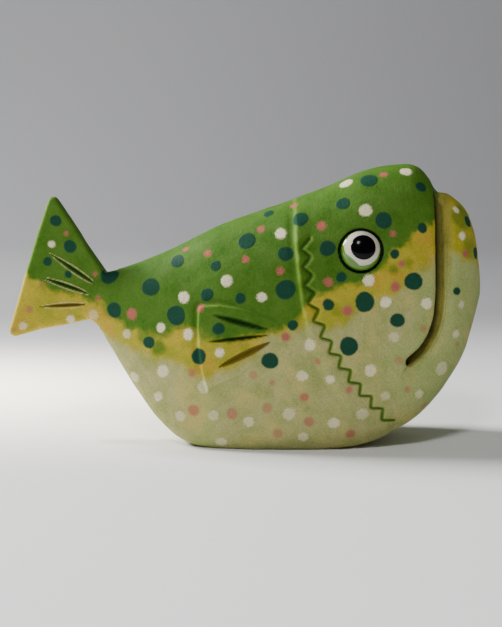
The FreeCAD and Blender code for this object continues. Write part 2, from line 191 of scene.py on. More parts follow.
def length_property(name, description, size, **limits):
    """A length that the user can change, given in millimetres."""
    return FloatProperty(name=name, description=description, default=size * MM, unit="LENGTH",
                         **limits)


def power_property(name, description, power):
    """A light's strength that the user can change."""
    return FloatProperty(name=name, description=description, default=power)


class FishCarving(bpy.types.PropertyGroup):
    """Sizes of the carved work."""

    grain: length_property("Carving detail", "Spacing of the carved surface's points", 0.34,
                           min=0.3 * MM, max=2 * MM)
    gill_height: length_property("Gill ridge", "Height of the ridge behind the gill", 0.95)
    zigzag_depth: length_property("Zigzag depth", "Depth of the zigzag cut", 0.85)
    fin_height: length_property("Fin height", "How far the side fin stands proud", 1.1)
    knife_marks: length_property("Knife marks", "Depth of the soft facets left by the knife", 0.16)
    seed: IntProperty(name="Hand", description="Changes the small accidents of the hand", default=7)


class FishPaint(bpy.types.PropertyGroup):
    """Colours of the paints."""

    cream: colour_property("Cream", "Ground colour of the belly", "aca871")
    moss: colour_property("Moss", "Thin green wash over the cream", "87934e")
    ochre: colour_property("Ochre", "Yellow band along the side", "b5a230")
    leaf: colour_property("Leaf", "Green of the back", "4d7021")
    fern: colour_property("Fern", "Darker green brushed into the leaf green", "36600f")
    teal: colour_property("Teal", "Large spots", "0e402d")
    white: colour_property("Chalk", "Pale spots", "e2d8b2")
    rose: colour_property("Rose", "Small pink spots", "a85e50")
    slot: colour_property("Olive", "Inside the mouth slot", "9c9440")
    eye_white: colour_property("Eye white", "White of the eye", "d8d4c0")


class FishStage(bpy.types.PropertyGroup):
    """Strength of the lights."""

    window: power_property("Window", "Power of the window light in watts", 30.0)
    fill: power_property("Fill", "Power of the soft light from the front in watts", 6.0)
    glow: power_property("Glow", "Power of the warm light behind the tail in watts", 85.0)
    room: power_property("Room", "Strength of the light from all round", 0.13)


# ---- Shape -----------------------------------------------------------------------------------


def smooth_line(points):
    """A function that gives z at x on a smooth line through (x, z) points."""
    xs, zs = np.array(points, float).T
    span = np.diff(zs) / np.diff(xs)
    product = span[:-1] * span[1:]
    total = np.where(span[:-1] + span[1:] == 0, 1, span[:-1] + span[1:])
    slope = np.concatenate([span[:1], np.where(product > 0, 2 * product / total, 0), span[-1:]])

    def line(x):
        x = np.clip(x, xs[0], xs[-1])
        i = np.clip(np.searchsorted(xs, x) - 1, 0, len(span) - 1)
        width = xs[i + 1] - xs[i]
        t = (x - xs[i]) / width
        return (zs[i] * (1 + 2 * t) * (1 - t) ** 2 + zs[i + 1] * t * t * (3 - 2 * t)
                + width * (slope[i] * t * (1 - t) ** 2 - slope[i + 1] * t * t * (1 - t)))

    return line


back_line, belly_line, width_line = smooth_line(BACK), smooth_line(BELLY), smooth_line(HALF_WIDTH)


def half_width(x):
    """Half the body's greatest width at x."""
    bow = np.clip((x - BOW_START) / BOW_LENGTH, 0, 1)
    return np.where(x > BOW_START, BOW_HALF * np.sqrt(1 - bow ** 2), width_line(x))


def tail_half(x):
    """Half the tail's thickness at x."""
    share = np.clip((TAIL_ROOT_X - x) / (TAIL_ROOT_X - TAIL_EDGE_X), -0.2, 1)
    return TAIL_ROOT_HALF + (TAIL_EDGE_HALF - TAIL_ROOT_HALF) * share


def skin(x, z):
    """Distance of the plain skin from the centre plane."""
    x, z = np.asarray(x, float), np.asarray(z, float)
    top, bottom = back_line(x), belly_line(x)
    widest = bottom + WIDEST_AT * (top - bottom)
    up = np.clip((z - widest) / (top - widest), 0, 1)
    down = np.clip((widest - z) / (widest - bottom), 0, 1)
    crown = (1 - up ** CROWN_POWER) ** (1 / CROWN_POWER)
    keel = (1 - down ** KEEL_POWER) ** (1 / KEEL_POWER)
    body = half_width(x) * np.where(z > widest, crown, keel)
    on_body = (z < top + 0.5) & (z > bottom - 0.5) & (x > -60)
    return np.maximum(np.where(on_body, body, 0), np.where(x < -40, tail_half(x), 0))


def travelled(*axes):
    """How far along a line of points each point lies."""
    return np.concatenate([[0], np.cumsum(np.hypot(*(np.diff(axis) for axis in axes)))])


def ring(x, count):
    """The body's closed section at x, evenly cut: two half superellipses."""
    top, bottom = float(back_line(x)), float(belly_line(x))
    widest = bottom + WIDEST_AT * (top - bottom)
    turn = np.linspace(-math.pi / 2, math.pi / 2, 721)
    power = np.where(turn > 0, CROWN_POWER, KEEL_POWER)
    height = np.where(turn > 0, top - widest, widest - bottom)
    y = float(half_width(x)) * np.abs(np.cos(turn)) ** (2 / power)
    z = widest + height * np.sign(turn) * np.abs(np.sin(turn)) ** (2 / power)
    run = travelled(y, z)
    even = np.linspace(0, run[-1], count // 2 + 1)
    y, z = np.interp(even, run, y), np.interp(even, run, z)
    y[0] = y[-1] = 0
    right = np.stack([np.full_like(y, x), -y, z], 1)
    left = right[-2:0:-1] * [1, -1, 1]
    return np.concatenate([right, left])


def linked(name, data):
    """A new object in the scene that shows a mesh, light or camera."""
    made = bpy.data.objects.new(name, data)
    bpy.context.scene.collection.objects.link(made)
    return made


def new_object(name, vertices, faces):
    """A mesh object from points in millimetres."""
    mesh = bpy.data.meshes.new(name)
    mesh.from_pydata((np.asarray(vertices) * MM).tolist(), [], faces)
    mesh.validate()
    return linked(name, mesh)


def outward(mesh):
    """Turns every face of a closed mesh to look outwards."""
    tidy = bmesh.new()
    tidy.from_mesh(mesh)
    bmesh.ops.recalc_face_normals(tidy, faces=tidy.faces)
    tidy.to_mesh(mesh)
    tidy.free()


def tube_faces(rings, count):
    """Faces of a capped tube whose rings follow each other."""
    faces = [(r * count + i, r * count + (i + 1) % count,
              (r + 1) * count + (i + 1) % count, (r + 1) * count + i)
             for r in range(rings - 1) for i in range(count)]
    faces.append(tuple(range(count))[::-1])
    faces.append(tuple((rings - 1) * count + i for i in range(count)))
    return faces


def body_mesh():
    """The plain body, from inside the tail to the lower lip."""
    stations = list(np.arange(-60, BOW_START, 1.5))
    stations += [BOW_START + BOW_LENGTH * math.sin(math.radians(a)) for a in range(0, 76, 3)]
    stations += [BOW_START + BOW_LENGTH * math.sin(math.radians(a)) for a in (77, 79, 81)]
    count = 160
    return new_object("body", np.concatenate([ring(x, count) for x in stations]),
                      tube_faces(len(stations), count))


def rounded(points, radii, steps=6):
    """A closed outline whose corners are arcs of the given radii."""
    out = []
    count = len(points)
    for i, (point, radius) in enumerate(zip(points, radii)):
        corner, before = Vector(point), Vector(points[i - 1])
        after = Vector(points[(i + 1) % count])
        into, away = (before - corner).normalized(), (after - corner).normalized()
        half = into.angle(away) / 2
        if not radius:
            out.append(tuple(corner))
            continue
        centre = corner + (into + away).normalized() * radius / math.sin(half)
        start = corner + into * radius / math.tan(half) - centre
        end = corner + away * radius / math.tan(half) - centre
        sweep = math.atan2(start.x * end.y - start.y * end.x, start.dot(end))
        for k in range(steps + 1):
            turned = Matrix.Rotation(sweep * k / steps, 2) @ start
            out.append(tuple(centre + turned))
    return out


def plate_faces(count):
    """Faces of a plate between two outlines of the same number of points."""
    faces = [tuple(range(count)), tuple(range(2 * count - 1, count - 1, -1))]
    return faces + [(i, count + i, count + (i + 1) % count, (i + 1) % count)
                    for i in range(count)]


def tail_mesh():
    """The tail fin: a plate that thins towards its trailing edge, with eased edges."""
    outline = rounded(TAIL, TAIL_RADII)
    sides = [[(x, side * float(tail_half(x)), z) for x, z in outline] for side in (-1, 1)]
    tail = new_object("tail", sides[0] + sides[1], plate_faces(len(outline)))
    rounding = bmesh.new()
    rounding.from_mesh(tail.data)
    bmesh.ops.recalc_face_normals(rounding, faces=rounding.faces)
    rims = [e for e in rounding.edges if e.verts[0].co.y * e.verts[1].co.y > 0]
    bmesh.ops.bevel(rounding, geom=rims, offset=1.25 * MM, segments=3, profile=0.5,
                    affect="EDGES", clamp_overlap=True)
    rounding.to_mesh(tail.data)
    rounding.free()
    return tail


def prism(name, outline, y0, y1):
    """A side-view outline made solid between y0 and y1."""
    vertices = [(x, y0, z) for x, z in outline] + [(x, y1, z) for x, z in outline]
    made = new_object(name, vertices, plate_faces(len(outline)))
    outward(made.data)
    return made


def block(name, near, far):
    """A closed mesh between two grids of points of the same size."""
    rows, columns = near.shape[:2]
    count = rows * columns
    faces = []
    for r in range(rows - 1):
        for c in range(columns - 1):
            i = r * columns + c
            quad = (i, i + 1, i + columns + 1, i + columns)
            faces += [quad, tuple(count + k for k in quad[::-1])]
    border = list(range(columns)) + [r * columns + columns - 1 for r in range(1, rows)]
    border += [(rows - 1) * columns + c for c in range(columns - 2, -1, -1)]
    border += [r * columns for r in range(rows - 2, 0, -1)]
    for i, j in zip(border, border[1:] + border[:1]):
        faces.append((i, j, count + j, count + i))
    made = new_object(name, np.concatenate([near.reshape(-1, 3), far.reshape(-1, 3)]), faces)
    outward(made.data)
    return made


def mouth_cutter(side):
    """What the gouge takes from one side: a slot whose round floor follows the skin."""
    points = np.array(MOUTH, float)
    run = travelled(*points.T)
    even = np.linspace(0, run[-1], 60)
    line = np.stack([smooth_line(list(zip(run, points[:, k])))(even) for k in (0, 1)], 1)
    along = np.gradient(line, axis=0)
    along /= np.linalg.norm(along, axis=1)[:, None]
    turns = np.linspace(0, math.pi / 2, 9)[1:, None]
    line = np.concatenate([line, line[-1] + along[-1] * MOUTH_HALF * np.sin(turns)])
    half = np.concatenate([np.full(60, MOUTH_HALF), MOUTH_HALF * np.cos(turns[:, 0]) + 0.02])
    along = np.concatenate([along, np.repeat(along[-1:], len(turns), 0)])
    across = np.stack([along[:, 1], -along[:, 0]], 1)
    share = -np.cos(np.linspace(0, math.pi, 15))
    grid = line[:, None] + across[:, None] * half[:, None, None] * share[None, :, None]
    x, z = grid[..., 0], grid[..., 1]
    slope, step = np.clip((1 + share) / 1.5, 0, 1), np.clip((1 - share) / 0.3, 0, 1)
    deep = MOUTH_DEPTH * slope ** 0.8 * step ** 0.4 * (half[:, None] / MOUTH_HALF) ** 0.6
    floor = np.maximum(skin(x, z) - deep, CORE_HALF - MOUTH_INTO_CORE)
    near = np.stack([x, side * floor, z], -1)
    far = np.stack([x, side * np.maximum(floor + 1, 32), z], -1)
    return block("slot", near, far)


def eye_frame(side):
    """Placement in millimetres whose +Z looks out of the eye, +X forward and +Y up the head."""
    tilt = math.radians(EYE_TILT)
    out = Vector((0, side * math.cos(tilt), math.sin(tilt)))
    ahead = Vector((1, 0, 0))
    up = out.cross(ahead) * (1 if side < 0 else -1)
    up = up if up.z > 0 else -up
    base = Vector((EYE_X, side * (float(skin(EYE_X, EYE_Z)) + HEAD_RAISED), EYE_Z))
    return Matrix.Translation(base) @ Matrix((ahead, up, out)).transposed().to_4x4()


def lathe(name, profile, frame_mm, count=96):
    """A turned piece: a profile of (radius, height) points swept about +Z, then placed."""
    vertices = []
    for radius, height in profile:
        for i in range(count):
            turn = 2 * math.pi * i / count
            point = Vector((radius * math.cos(turn), radius * math.sin(turn), height))
            vertices.append(tuple(frame_mm @ point))
    made = new_object(name, vertices, tube_faces(len(profile), count))
    outward(made.data)
    return made


def apply_modifiers(piece):
    """Turns a piece into the mesh that its modifiers make."""
    graph = bpy.context.evaluated_depsgraph_get()
    mesh = bpy.data.meshes.new_from_object(piece.evaluated_get(graph))
    piece.modifiers.clear()
    old, piece.data = piece.data, mesh
    bpy.data.meshes.remove(old)


def discard(*pieces):
    """Removes working objects and their meshes."""
    for piece in pieces:
        mesh = piece.data
        bpy.data.objects.remove(piece)
        bpy.data.meshes.remove(mesh)


# ---- Carved relief -----------------------------------------------------------------------------


def ease(value, low, high):
    """0 below low, 1 above high, and a smooth rise between."""
    t = np.clip((value - low) / (high - low), 0, 1)
    return t * t * (3 - 2 * t)


def bell(value, width):
    """1 where value is 0, falling smoothly to nothing over about twice the width."""
    return np.exp(-(value / width) ** 2)


def to_line(points, x, z, closed=False):
    """Distance to a line of points, and +1 or -1 for its right or left side as it runs down."""
    best = np.full(x.shape, 1e9)
    side = np.ones(x.shape)
    corners = list(points) + ([points[0]] if closed else [])
    for (x0, z0), (x1, z1) in zip(corners, corners[1:]):
        run = np.array([x1 - x0, z1 - z0], float)
        t = np.clip(((x - x0) * run[0] + (z - z0) * run[1]) / (run @ run), 0, 1)
        gap = np.hypot(x - x0 - t * run[0], z - z0 - t * run[1])
        nearer = gap < best
        best = np.where(nearer, gap, best)
        turn = run[0] * (z - z0) - run[1] * (x - x0)
        side = np.where(nearer, np.sign(turn), side)
    return best, side


def inside(points, x, z):
    """Distance to a closed outline, positive inside it."""
    gap = to_line(points, x, z, closed=True)[0]
    crossings = np.zeros(x.shape, int)
    for (x0, z0), (x1, z1) in zip(points, points[1:] + points[:1]):
        spans = (z0 > z) != (z1 > z)
        at = x0 + (z - z0) * (x1 - x0) / ((z1 - z0) or 1e-9)
        crossings += spans & (x < at)
    return np.where(crossings % 2 == 1, gap, -gap)


def gouge_field(cut, x, z):
    """How far across a gouge cut each point is (-1 and 1 at its edges), and its depth there."""
    (x0, z0), (x1, z1), half, widest, depth, lean, _ = cut
    run = np.array([x1 - x0, z1 - z0], float)
    length = math.hypot(*run)
    run /= length
    along = ((x - x0) * run[0] + (z - z0) * run[1]) / length
    across = (x - x0) * -run[1] + (z - z0) * run[0]
    t = np.clip(along, 0, 1)
    power = math.log(0.5) / math.log(widest)
    width = half * np.maximum(np.sin(math.pi * t ** power), 0) ** 0.6 + 1e-3
    beyond = np.maximum(np.maximum(-along, along - 1), 0) * length
    share = np.hypot(across, beyond) / np.maximum(width, 0.12) * np.where(across < 0, -1, 1)
    ramp = np.minimum((1 + share) / (1 + lean), (1 - share) / (1 - lean))
    hollow = depth * np.clip(ramp, 0, 1) ** 0.9 * np.clip(width / half, 0, 1)
    return share, hollow


def zigzag_corners():
    """The zigzag's corners, evenly spaced along its middle line and swinging to and fro."""
    middle = np.array(ZIGZAG_MIDDLE).T
    run = travelled(*middle)
    places = np.linspace(0, run[-1], 2 * ZIGZAG_TEETH + 1)
    x, z = (np.interp(places, run, axis) for axis in middle)
    along_x, along_z = np.gradient(x), np.gradient(z)
    length = np.hypot(along_x, along_z)
    swing = ZIGZAG_SWING * np.where(np.arange(len(places)) % 2, 1, -1) / length
    return [(float(a), float(b)) for a, b in zip(x + along_z * swing, z - along_x * swing)]


FIN_OUTLINE = rounded(FIN, FIN_RADII, 3)
ZIGZAG = zigzag_corners()
ZIGZAG_CUT = rounded(ZIGZAG, [0] + [0.55] * (len(ZIGZAG) - 2) + [0], 2)


def head_side(x, z):
    """Positive on the head's side of the gill ridge, in millimetres from it."""
    gap, side = to_line(GILL, x, z)
    return gap * side


def relief(x, z, carving):
    """Height of the carved work above the plain skin."""
    gill = head_side(x, z)
    fade = ease(z, 9, 24) * (1 - ease(z, 73, 86))
    ridge = carving.gill_height / MM
    height = ridge * ease(gill, -0.5, 1.1) * (1 - 0.55 * ease(gill, 0.4, 6)) * fade
    height += 0.18 * bell(gill - 0.35, 0.5) * fade
    height -= 0.22 * bell(gill + 1.2, 0.9) * fade
    tooth_gap, tooth_side = to_line(ZIGZAG_CUT, x, z)
    tooth = tooth_gap * tooth_side
    upper = ease(z, 37, 48) * (1 - ease(z, 65, 67.5))
    before = ease(tooth, -2.4, -0.2) * (1 - ease(tooth, -0.15, 0.4)) * ease(z, 6, 14)
    height -= (0.12 + 0.45 * upper) * before
    height += 0.45 * upper * ease(tooth, -0.1, 0.45) * (1 - ease(tooth, 1.2, 9))
    height -= carving.zigzag_depth / MM * bell(tooth_gap, 0.5) * (1 - 0.3 * upper)
    fin = inside(FIN_OUTLINE, x, z)
    root = np.clip((14 - x) / 22, 0, 1)
    crisp = ease(z - 0.6 * x, 20, 34)
    height += carving.fin_height / MM * ease(fin, -0.25, 0.35) * root * (0.4 + 0.6 * crisp)
    height -= 0.3 * bell(fin + 0.8, 0.7) * root * crisp
    for cut in FIN_GOUGES + TAIL_GOUGES:
        share, hollow = gouge_field(cut, x, z)
        height -= hollow
        height += (0.2 if cut in TAIL_GOUGES else 0.1) * bell(np.abs(share) - 1.35, 0.3)
    mouth_gap, mouth_side = to_line(MOUTH, x, z)
    bank = mouth_gap - MOUTH_HALF
    height -= 0.9 * (mouth_side > 0) * bell(np.maximum(bank, 0), 1.5) * ease(bank, -0.6, 0)
    height -= 0.3 * (mouth_side < 0) * bell(np.maximum(bank, 0), 0.7) * ease(bank, -0.6, 0)
    brow = np.hypot(x - 43.0, z - 62.0)
    height += 0.35 * bell(brow, 1.6)
    return height


def hand_wave(x, y, z, scale, seed):
    """A soft random surface, about -1 to 1, from sums of slanted waves: the carver's hand."""
    rng = np.random.default_rng(seed)
    total = np.zeros(x.shape)
    for _ in range(9):
        direction = rng.normal(size=3)
        direction /= np.linalg.norm(direction)
        pitch = scale * rng.uniform(0.7, 1.6)
        phase = rng.uniform(0, 2 * math.pi)
        along = x * direction[0] + y * direction[1] + z * direction[2]
        total += np.sin(along * 2 * math.pi / pitch + phase)
    return total / 4.5


def carve(piece, carving):
    """Cuts the relief into the fine mesh: each point of a side moves in or out."""
    mesh = piece.data
    count = len(mesh.vertices)
    points = np.empty(count * 3)
    mesh.vertices.foreach_get("co", points)
    normals = np.empty(count * 3)
    mesh.vertices.foreach_get("normal", normals)
    x, y, z = (points.reshape(-1, 3) / MM).T
    facing = normals.reshape(-1, 3)
    on_side = ease(np.abs(facing[:, 1]), 0.3, 0.7)
    deep = skin(x, z) - np.abs(y) > 2.0
    side = np.where(y < 0, -1, 1)
    lift = relief(x, z, carving) * on_side * side * ~deep
    marks = carving.knife_marks / MM * hand_wave(x, y, z, 17, carving.seed)
    marks += 0.35 * carving.knife_marks / MM * hand_wave(x, y, z, 6, carving.seed + 1)
    marks *= ~deep * ease(z, 0.5, 4)
    moved = points.reshape(-1, 3) / MM + facing * marks[:, None]
    moved[:, 1] += lift
    moved[:, 2] = np.maximum(moved[:, 2], 0)
    low, high = (np.array(corner) / MM for corner in CAD_BOX)
    moved = np.clip(moved, low + 0.02, high - 0.02)
    moved[z < 0.12, 2] = 0
    mesh.vertices.foreach_set("co", (moved * MM).ravel())
    mesh.update()


# ---- Boards --------------------------------------------------------------------------------------


def loop_at(board, outline, y):
    """A closed loop of points and edges in the plane y."""
    verts = [board.verts.new((x * MM, y * MM, z * MM)) for x, z in outline]
    edges = [board.edges.new((a, b)) for a, b in zip(verts, verts[1:] + verts[:1])]
    return verts, edges


def wall(board, near, far):
    """Faces between two loops, bare wood inside."""
    for i in range(len(near)):
        face = board.faces.new((near[i], near[i - 1], far[i - 1], far[i]))
        face.material_index = 1


def hole_outlines():
    """The chamber and the dowel holes: outline, and how far each runs from the centre plane."""
    turns = [2 * math.pi * i / 24 for i in range(24)]
    holes = [(rounded(CHAMBER, [CHAMBER_CORNER] * len(CHAMBER), 5), CHAMBER_HALF)]
    for x, z, reach in DOWELS:
        circle = [(x + DOWEL_HOLE * math.cos(t), z + DOWEL_HOLE * math.sin(t)) for t in turns]
        holes.append((circle, reach))
    return holes


def part_board(whole, name, planes):
    """Cuts one board out of the carved fish. planes are (y, keeps) with keeps +1 for above y."""
    board = bmesh.new()
    board.from_mesh(whole.data)
    for y, keeps in planes:
        cut = bmesh.ops.bisect_plane(
            board, geom=[*board.verts, *board.edges, *board.faces], dist=1e-7,
            plane_co=(0, y * MM, 0), plane_no=(0, keeps, 0), clear_inner=True)
        rim = [e for e in cut["geom_cut"] if isinstance(e, bmesh.types.BMEdge)]
        for edge in rim:
            edge.smooth = False
        loops, edges = [], list(rim)
        for outline, reach in hole_outlines():
            verts, ring_edges = loop_at(board, outline, y)
            loops.append((verts, outline, reach))
            edges += ring_edges
        filled = bmesh.ops.triangle_fill(board, use_beauty=False, use_dissolve=False, edges=edges,
                                         normal=(0, -keeps, 0))
        for face in filled["geom"]:
            if isinstance(face, bmesh.types.BMFace):
                face.material_index = 1
                face.smooth = False
        for verts, outline, reach in loops:
            end = 0.0 if len(planes) == 2 else math.copysign(reach, y)
            far = [board.verts.new((x * MM, end * MM, z * MM)) for x, z in outline]
            wall(board, verts, far)
            if len(planes) == 1:
                board.faces.new(far).material_index = 1
    if len(planes) == 2:
        middle = [v for v in board.verts if abs(v.co.y) < 1e-6
                  and all(f.material_index for f in v.link_faces)]
        bmesh.ops.remove_doubles(board, verts=middle, dist=1e-6)
    inner = [f for f in board.faces if f.material_index == 1]
    bmesh.ops.recalc_face_normals(board, faces=inner)
    mesh = bpy.data.meshes.new(name)
    board.to_mesh(mesh)
    board.free()
    return linked(name, mesh)


def carved_fish(carving):
    """The whole fish as one fine mesh, before it is parted into its boards."""
    fish = body_mesh()
    trims = [prism("base", [(-200, -50), (200, -50), (200, 0), (-200, 0)], -60, 60)]
    for side in (-1, 1):
        trims.append(mouth_cutter(side))
        profile = [(SOCKET_RADIUS, -SOCKET_DEPTH), (SOCKET_RADIUS, 12)]
        trims.append(lathe("socket", profile, eye_frame(side)))
    for trim in trims:
        cut = fish.modifiers.new("cut", "BOOLEAN")
        cut.operation, cut.solver, cut.object = "DIFFERENCE", "EXACT", trim
    apply_modifiers(fish)
    discard(*trims)
    tail = tail_mesh()
    with_tail = bmesh.new()
    with_tail.from_mesh(fish.data)
    with_tail.from_mesh(tail.data)
    with_tail.to_mesh(fish.data)
    with_tail.free()
    discard(tail)
    remesh = fish.modifiers.new("grain", "REMESH")
    remesh.mode, remesh.voxel_size, remesh.use_smooth_shade = "VOXEL", carving.grain, True
    soften = fish.modifiers.new("sanding", "SMOOTH")
    soften.factor, soften.iterations = 0.5, 3
    apply_modifiers(fish)
    carve(fish, carving)
    return fish


# ---- Paint fields --------------------------------------------------------------------------------


def side_spots(seed):
    """Scatters one side's spots: teal high up, chalk and rose all over, fainter on the belly."""
    rng = np.random.default_rng(seed)
    count = 9000
    x, z = rng.uniform(-74, 73, count), rng.uniform(2, 87, count)
    tail = x < -43
    top, bottom = np.where(tail, 80, back_line(x)), np.where(tail, 32, belly_line(x))
    share = (z - bottom) / (top - bottom)
    within = np.where(tail, inside(TAIL, x, z) > 1.2, (z < top - 0.8) & (z > bottom + 3))
    room = np.minimum(np.hypot(x - EYE_X, z - EYE_Z) - SOCKET_RADIUS - 0.8,
                      to_line(MOUTH, x, z)[0] - MOUTH_HALF - 0.7)
    room = np.minimum(room, to_line(ZIGZAG, x, z)[0] - 0.8)
    for root, end, *_ in FIN_GOUGES + TAIL_GOUGES:
        room = np.minimum(room, to_line([root, end], x, z)[0] - 0.9)
    placed = {kind: [] for kind, *_ in SPOT_KINDS}
    for kind, wanted, low, high, gap, spread, lowest in SPOT_KINDS:
        radius = rng.uniform(low, high, count) * np.where(tail | (x > 62), 0.75, 1)
        faint = rng.uniform(0.4, 0.85, count)
        for i in np.flatnonzero(within & (room > radius) & (share > lowest)):
            if len(placed[kind]) == wanted:
                break
            reach = radius[i] + gap
            if all(math.hypot(x[i] - px, z[i] - pz) > reach + pr + spread * (other == kind)
                   for other, group in placed.items() for px, pz, pr, _ in group):
                cover = 1.0 if kind == "teal" or share[i] > 0.45 else faint[i]
                placed[kind].append((x[i], z[i], radius[i], cover))
    return placed


def crown_spots(rng, side):
    """Spots over the top of the back and under the belly, clear of those on the sides."""
    placed = []
    for _ in range(900):
        x = rng.uniform(-40, 58)
        over = rng.random() < 0.8
        y = rng.uniform(2, 10) if over else rng.uniform(-9, 9)
        top = float(back_line(x))
        z = top - 0.045 * y * y if over else 0.3
        if not over and not -15 < x < 35:
            continue
        kind = rng.choice(["teal", "white", "rose"]) if over else rng.choice(["white", "rose"])
        radius = {"teal": 2.4, "white": 1.8, "rose": 1.4}[kind] * rng.uniform(0.8, 1.15)
        near = [(px, ps * float(skin(px, pz)), pz, pr) for spots in side.values()
                for px, pz, pr, _ in spots for ps in (-1, 1) if abs(px - x) < 9]
        near += [spot[:4] for _, spot in placed]
        if all(math.dist((x, y, z), n[:3]) > n[3] + radius + 1.6 for n in near):
            placed.append((kind, (x, y, z, radius, 1.0 if over else 0.6)))
    return placed


def spot_centres(spots, kind, extra, rng):
    """Where a colour's spots sit on both sides, in three dimensions."""
    centres = []
    for x, z, radius, strength in spots:
        centres.append((x, -float(skin(x, z)), z, radius, strength))
        fx, fz = x + rng.uniform(-1.4, 1.4), z + rng.uniform(-1.2, 1.2)
        fz = min(fz, float(back_line(fx)) - 0.4) if fx > -42 else fz
        centres.append((fx, float(skin(fx, fz)), fz, radius * rng.uniform(0.88, 1.1), strength))
    centres += [spot for name, spot in extra if name == kind]
    return centres


def spot_field(centres, points, rng):
    """How far inside the nearest spot each point is, and how strongly that spot covers."""
    best = np.full(len(points), -3.0)
    cover = np.zeros(len(points))
    for x, y, z, radius, strength in centres:
        wobble = rng.uniform(0, 2 * math.pi, 3)
        box = (np.abs(points[:, 0] - x) < radius + 3) & (np.abs(points[:, 2] - z) < radius + 3)
        near = np.flatnonzero(box)
        offset = points[near] - [x, y, z]
        angle = np.arctan2(offset[:, 2], offset[:, 0])
        edge = radius * (1 + 0.035 * np.sin(2 * angle + wobble[0])
                         + 0.02 * np.sin(3 * angle + wobble[1])
                         + 0.008 * np.sin(5 * angle + wobble[2]))
        depth = edge - np.linalg.norm(offset, axis=1)
        closer = depth > best[near]
        best[near] = np.where(closer, depth, best[near])
        cover[near] = np.where(closer, strength, cover[near])
    return np.clip(best, -3, 3), cover


def zone_fields(x, z):
    """How far above the green's lower edge, and above the ochre's, each point lies."""
    lip = (to_line(MOUTH, x, z)[1] > 0) & (x > 48)
    head = ((to_line(ZIGZAG_CUT, x, z)[1] > 0) & (z < 66) & (x > 14)) | ((z >= 66) & (x > 16))
    tail = x < -46
    green = np.where(tail, z - np.interp(x, *zip(*TAIL_GREEN)), z - smooth_line(TRUNK_GREEN)(x))
    ochre = np.where(tail, 9.0, z - smooth_line(TRUNK_OCHRE)(x))
    green = np.where(head, z - smooth_line(HEAD_GREEN)(x), green)
    ochre = np.where(head, z - smooth_line(HEAD_OCHRE)(x), ochre)
    green = np.where(lip, -9.0, green)
    ochre = np.where(lip, z - smooth_line(LIP_OCHRE)(x), ochre)
    return np.clip(green, -9, 9), np.clip(ochre, -9, 9)


def brush_field(x, z):
    """Coordinates across and along the brush strokes, which follow the form."""
    gill = -head_side(x, z)
    left = 1 - ease(x, -24, -10)
    right = ease(x, 2, 13)
    middle = 1 - left - right
    across = left * (0.83 * x + 0.55 * z) + middle * (-0.59 * x + 0.81 * z) - right * gill
    along = left * (-0.55 * x + 0.83 * z) + middle * (0.81 * x + 0.59 * z) + right * z
    return across, along


def put(mesh, name, values):
    """Stores one number for each point of a mesh."""
    stored_as = mesh.attributes.new(name, "FLOAT", "POINT")
    stored_as.data.foreach_set("value", np.asarray(values, np.float32))


